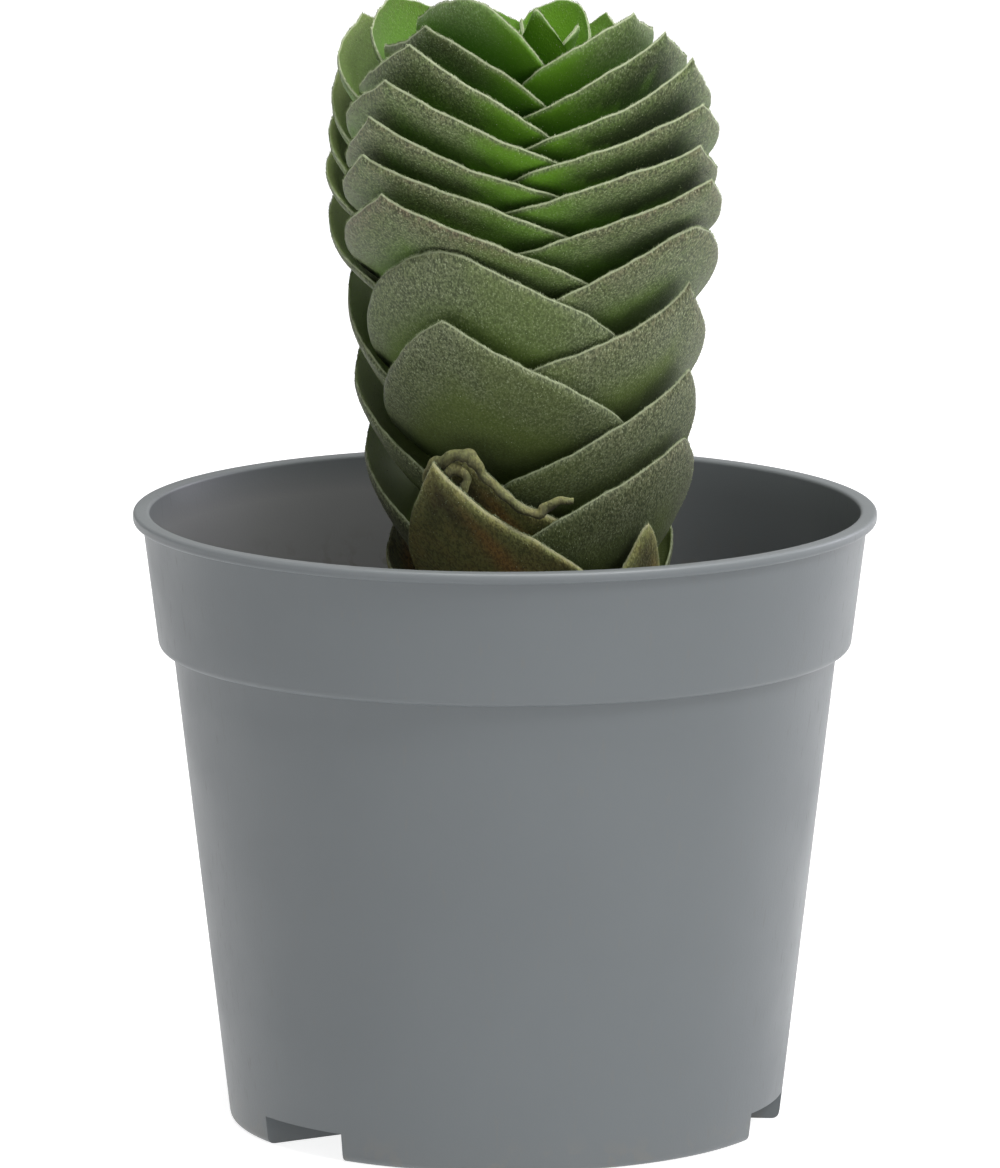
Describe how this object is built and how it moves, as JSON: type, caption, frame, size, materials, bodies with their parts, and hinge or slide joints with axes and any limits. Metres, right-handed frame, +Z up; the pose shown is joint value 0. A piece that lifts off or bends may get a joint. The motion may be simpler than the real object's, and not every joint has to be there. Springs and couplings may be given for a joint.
{
  "type": "potted crassula plant",
  "caption": "Column of stacked, clasping leaf pairs in four ranks on a hidden stem, growing in a round nursery pot with a collar, a rolled lip and a notched, footed base.",
  "frame": {"origin": "on the pot's axis, on the plane its three feet stand on", "axes": "+Z up along the pot's axis and the leaf column; -Y toward the side shown in the picture, +X to that view's right"},
  "size_m": [0.12, 0.12, 0.1849],
  "materials": {
    "pot_plastic": "satin",
    "potting_soil": "matte",
    "stem_skin": "matte",
    "green_leaf": "matte",
    "old_leaf": "matte"
  },
  "bodies": {
    "root": {"pot": "pot_plastic", "soil": "potting_soil", "stem": "stem_skin", "leaf_01_front": "green_leaf", "leaf_01_back": "green_leaf", "leaf_02_front": "green_leaf", "leaf_02_back": "green_leaf", "leaf_03_front": "green_leaf", "leaf_03_back": "green_leaf", "leaf_04_front": "green_leaf", "leaf_04_back": "green_leaf", "leaf_05_front": "green_leaf", "leaf_05_back": "green_leaf", "leaf_06_front": "green_leaf", "leaf_06_back": "green_leaf", "leaf_07_front": "green_leaf", "leaf_07_back": "green_leaf", "leaf_08_front": "green_leaf", "leaf_08_back": "green_leaf", "leaf_09_front": "green_leaf", "leaf_09_back": "green_leaf", "leaf_10_front": "green_leaf", "leaf_10_back": "green_leaf", "leaf_11_front": "green_leaf", "leaf_11_back": "green_leaf", "leaf_12_front": "green_leaf", "leaf_12_back": "green_leaf", "leaf_13_front": "green_leaf", "leaf_13_back": "green_leaf", "leaf_14_front": "green_leaf", "leaf_14_back": "green_leaf", "leaf_15_front": "green_leaf", "leaf_15_back": "green_leaf", "leaf_16_front": "green_leaf", "leaf_16_back": "green_leaf", "leaf_17_front": "green_leaf", "leaf_17_back": "green_leaf", "leaf_18_front": "green_leaf", "leaf_18_back": "green_leaf", "leaf_19_front": "green_leaf", "leaf_19_back": "green_leaf", "leaf_20_front": "green_leaf", "leaf_20_back": "green_leaf", "leaf_21_front": "green_leaf", "leaf_21_back": "green_leaf", "leaf_22_front": "old_leaf", "leaf_22_back": "green_leaf", "leaf_23_front": "green_leaf", "leaf_23_back": "green_leaf", "leaf_24_front": "old_leaf", "leaf_24_back": "green_leaf", "leaf_25_front": "old_leaf", "leaf_25_back": "old_leaf"}
  },
  "joints": []
}
